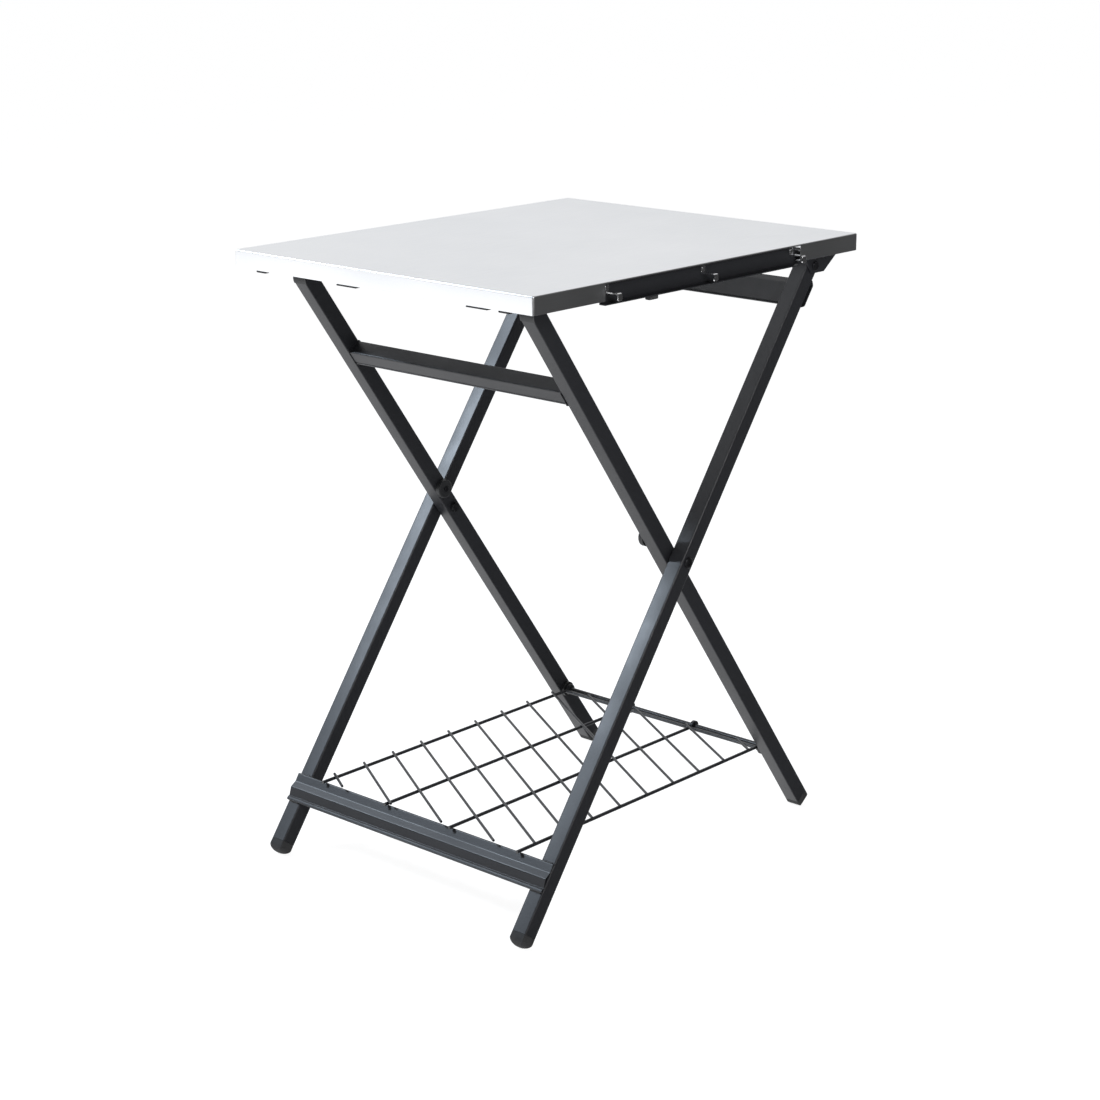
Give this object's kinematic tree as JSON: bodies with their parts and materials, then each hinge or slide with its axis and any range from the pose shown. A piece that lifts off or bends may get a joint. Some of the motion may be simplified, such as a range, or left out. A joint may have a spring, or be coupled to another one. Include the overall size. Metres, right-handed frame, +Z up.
{
  "type": "folding side table",
  "caption": "Folding camp side table: satin steel tray top with side tool hooks on crossed black square-tube legs, with a slanted-wire shelf between the feet.",
  "frame": {"origin": "on the floor, straight below the middle of the open table's bounding box, tool hooks included", "axes": "+Z up; +Y from the front edge of the top, over the front rail, to its back edge, over the hinges; +X to the side with the tool hooks"},
  "size_m": [0.575, 0.7, 0.9],
  "materials": {
    "satin_steel": "satin stainless sheet",
    "bright_steel": "bright bent steel strip",
    "zinc_steel": "zinc plated",
    "black_coat": "satin black powder coat",
    "black_fastener": "black plated steel",
    "black_rubber": "matte",
    "black_plastic": "moulded, fine grain"
  },
  "bodies": {
    "outer_frame": {"outer_leg_left": "black_coat", "outer_leg_right": "black_coat", "outer_front_rail": "black_coat", "outer_back_bar": "black_coat", "outer_end_plug_left": "black_plastic", "outer_end_plug_right": "black_plastic", "outer_foot_left": "black_rubber", "outer_foot_right": "black_rubber", "pivot_bolt_left": "black_fastener", "pivot_bolt_right": "black_fastener", "pivot_washer_left": "black_plastic", "pivot_washer_right": "black_plastic", "pivot_nut_left": "black_fastener", "pivot_nut_right": "black_fastener"},
    "inner_frame": {"inner_leg_left": "black_coat", "inner_leg_right": "black_coat", "inner_crossbar": "black_coat", "latch_rod": "black_coat", "shelf_rod": "black_coat", "inner_end_plug_left": "black_plastic", "inner_end_plug_right": "black_plastic", "inner_foot_left": "black_rubber", "inner_foot_right": "black_rubber", "shelf_bush_left": "black_plastic", "shelf_bush_right": "black_plastic", "shelf_stop_left": "black_plastic", "shelf_stop_right": "black_plastic", "stop_screw_left": "black_fastener", "stop_screw_right": "black_fastener"},
    "table_top": {"tabletop": "satin_steel", "tool_rail": "black_coat", "tool_hook_front": "bright_steel", "tool_hook_middle": "bright_steel", "tool_hook_rear": "bright_steel", "hook_rivets": "bright_steel", "front_stiffener": "zinc_steel", "rear_stiffener": "zinc_steel", "bracket_rivets": "zinc_steel", "catch_rivets": "zinc_steel", "lip_bumpers": "black_rubber", "side_bumpers": "black_rubber", "hinge_bracket_left": "black_coat", "hinge_bracket_right": "black_coat", "hinge_pin_left": "black_fastener", "hinge_pin_right": "black_fastener", "front_catch_left": "black_fastener", "front_catch_right": "black_fastener"},
    "wire_shelf": {"shelf_frame": "black_coat", "shelf_cross_wires": "black_coat"}
  },
  "joints": [
    {"name": "leg_fold", "type": "hinge", "parent": "outer_frame", "child": "inner_frame", "pos_m": [-0.0075, 0, 0.4735], "axis": [1, 0, 0], "range_deg": [0, 103.28]},
    {"name": "top_fold", "type": "hinge", "parent": "outer_frame", "child": "table_top", "pos_m": [-0.0075, 0.2779, 0.858], "axis": [1, 0, 0], "range_deg": [0, 51.64]},
    {"name": "shelf_fold", "type": "hinge", "parent": "inner_frame", "child": "wire_shelf", "pos_m": [-0.0075, 0.26128, 0.112], "axis": [-1, 0, 0], "range_deg": [0, 51.64]}
  ],
  "couplings": [
    {"joint": "top_fold", "follows": "leg_fold", "ratio": 0.5},
    {"joint": "shelf_fold", "follows": "leg_fold", "ratio": 0.5}
  ]
}
